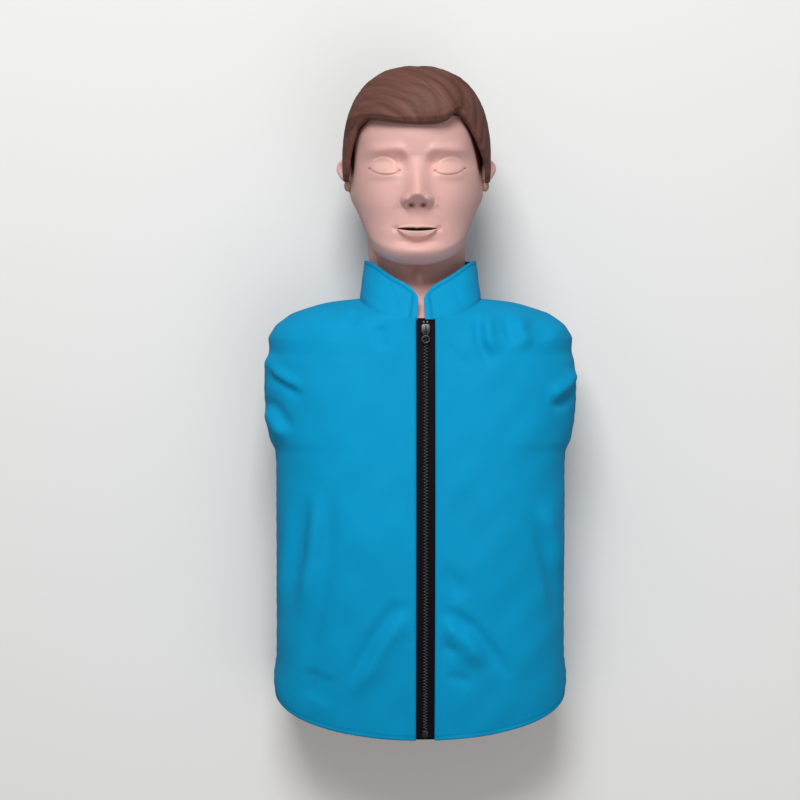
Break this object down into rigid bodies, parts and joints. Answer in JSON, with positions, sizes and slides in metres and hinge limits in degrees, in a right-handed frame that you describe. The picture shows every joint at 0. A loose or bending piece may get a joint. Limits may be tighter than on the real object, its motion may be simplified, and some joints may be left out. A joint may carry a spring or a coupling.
{
  "type": "cpr training manikin",
  "caption": "Half-body resuscitation training manikin lying on its back: sprung chest, tilting head, opening jaw, face mask, hair piece and zip jacket.",
  "frame": {"origin": "on the floor under the middle of the manikin's length and width", "axes": "+Y towards the top of the head, +Z out of the chest, +X towards the right of someone who looks down on the chest"},
  "size_m": [0.3684, 0.77, 0.2337],
  "materials": {
    "jacket_blue": "matt woven",
    "tape_black": "matt woven",
    "zip_black": "satin moulded",
    "pull_black": "satin",
    "skin_pink": "soft satin",
    "shell_tan": "moulded satin",
    "hair_brown": "moulded satin",
    "plastic_white": "moulded satin",
    "steel": "bright drawn",
    "bag_clear": "thin clear film"
  },
  "bodies": {
    "torso": {"airway_tube": "bag_clear", "chest_skin": "skin_pink", "collar": "jacket_blue", "compression_spring": "steel", "jacket_back": "jacket_blue", "jacket_front_left": "jacket_blue", "jacket_front_right": "jacket_blue", "neck": "shell_tan", "neck_saddle": "plastic_white", "seat_screw_1": "steel", "seat_screw_2": "steel", "seat_screw_3": "steel", "seat_screw_4": "steel", "spring_seat": "plastic_white", "tilt_pin": "steel", "torso_base": "shell_tan", "zip_bottom_box": "zip_black", "zip_tape_left": "tape_black", "zip_tape_right": "tape_black", "zip_teeth_left": "zip_black", "zip_teeth_right": "zip_black", "zip_top_stop_left": "zip_black", "zip_top_stop_right": "zip_black"},
    "head": {"skull_shell": "shell_tan", "face_mask": "skin_pink", "hair_piece": "hair_brown", "mask_peg_left": "skin_pink", "mask_peg_right": "skin_pink", "jaw_pin_left": "steel", "jaw_pin_right": "steel"},
    "jaw": {"jaw": "plastic_white"},
    "chest": {"chest_plate": "plastic_white", "lung_bag": "bag_clear"},
    "zip_slider": {"zip_slider": "pull_black"},
    "zip_pull": {"zip_pull": "pull_black"}
  },
  "joints": [
    {"name": "head_tilt", "type": "hinge", "parent": "torso", "child": "head", "pos_m": [-0.0045, 0.245, 0.1], "axis": [-1, 0, 0], "range_deg": [0, 20], "deforming": ["airway_tube", "chest_skin"]},
    {"name": "jaw_open", "type": "hinge", "parent": "head", "child": "jaw", "pos_m": [-0.0045, 0.252, 0.118], "axis": [1, 0, 0], "range_deg": [0, 8], "deforming": ["face_mask", "airway_tube"]},
    {"name": "chest_compress", "type": "slide", "parent": "torso", "child": "chest", "axis": [0, 0, -1], "range_m": [0, 0.055], "stiffness_N_per_m": 9000, "deforming": ["compression_spring", "chest_skin", "airway_tube"]},
    {"name": "zip_slide", "type": "hinge", "parent": "torso", "child": "zip_slider", "pos_m": [0.005, -0.07, -0.788], "axis": [1, 0, 0], "range_deg": [0, 25.7], "deforming": ["zip_teeth_left", "zip_teeth_right"]},
    {"name": "zip_pull_flip", "type": "hinge", "parent": "zip_slider", "child": "zip_pull", "pos_m": [0.005, 0.07895, 0.20236], "axis": [-1, 0, 0], "range_deg": [0, 165]}
  ]
}
